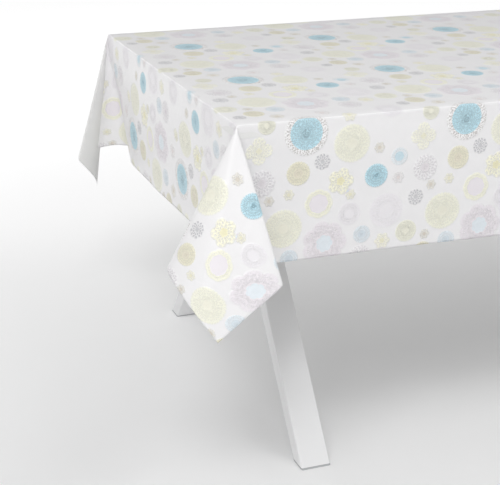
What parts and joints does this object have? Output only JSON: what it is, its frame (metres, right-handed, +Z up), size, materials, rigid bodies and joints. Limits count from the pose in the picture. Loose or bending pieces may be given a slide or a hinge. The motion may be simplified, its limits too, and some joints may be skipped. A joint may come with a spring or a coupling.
{
  "type": "dining table with tablecloth",
  "caption": "Rectangular table on splayed leg frames under a spine beam, dressed with a printed oilcloth tablecloth whose corners hang in soft conical folds.",
  "frame": {"origin": "on the floor, under the middle of the tabletop", "axes": "+X along the table's length, +Y across it from its front to its back, +Z up"},
  "size_m": [1.8128, 1.1128, 0.7515],
  "materials": {
    "printed_oilcloth": "white coated cloth, satin, printed and embossed with pale round lace doilies in blue, yellow and mauve",
    "melamine_board": "white melamine-faced chipboard, matt",
    "edge_banding": "white edge banding, matt",
    "white_powder_coat": "white powder coat, satin",
    "grey_plastic": "moulded grey plastic, matt",
    "zinc_steel": "bright zinc plate"
  },
  "bodies": {
    "table": {"tabletop": "melamine_board", "edge_band_front": "edge_banding", "edge_band_back": "edge_banding", "edge_band_left": "edge_banding", "edge_band_right": "edge_banding", "leg_front_left": "white_powder_coat", "leg_back_left": "white_powder_coat", "leg_front_right": "white_powder_coat", "leg_back_right": "white_powder_coat", "glide_front_left": "grey_plastic", "glide_back_left": "grey_plastic", "glide_front_right": "grey_plastic", "glide_back_right": "grey_plastic", "apex_plate_left": "white_powder_coat", "apex_plate_right": "white_powder_coat", "bolt_left_inner": "zinc_steel", "bolt_left_outer": "zinc_steel", "bolt_right_inner": "zinc_steel", "bolt_right_outer": "zinc_steel", "nut_left_inner": "zinc_steel", "nut_left_outer": "zinc_steel", "nut_right_inner": "zinc_steel", "nut_right_outer": "zinc_steel", "spine_beam": "white_powder_coat", "spine_cap_left": "grey_plastic", "spine_cap_right": "grey_plastic", "bearer_left": "white_powder_coat", "bearer_middle": "white_powder_coat", "bearer_right": "white_powder_coat", "bearer_cap_left_front": "grey_plastic", "bearer_cap_left_back": "grey_plastic", "bearer_cap_middle_front": "grey_plastic", "bearer_cap_middle_back": "grey_plastic", "bearer_cap_right_front": "grey_plastic", "bearer_cap_right_back": "grey_plastic", "screw_left_1": "zinc_steel", "screw_left_2": "zinc_steel", "screw_left_3": "zinc_steel", "screw_left_4": "zinc_steel", "screw_middle_1": "zinc_steel", "screw_middle_2": "zinc_steel", "screw_middle_3": "zinc_steel", "screw_middle_4": "zinc_steel", "screw_right_1": "zinc_steel", "screw_right_2": "zinc_steel", "screw_right_3": "zinc_steel", "screw_right_4": "zinc_steel"},
    "cloth": {"tablecloth": "printed_oilcloth"}
  },
  "joints": [
    {"name": "cloth_lift", "type": "slide", "parent": "table", "child": "cloth", "axis": [0, 0, 1], "range_m": [0, 0.45]}
  ]
}
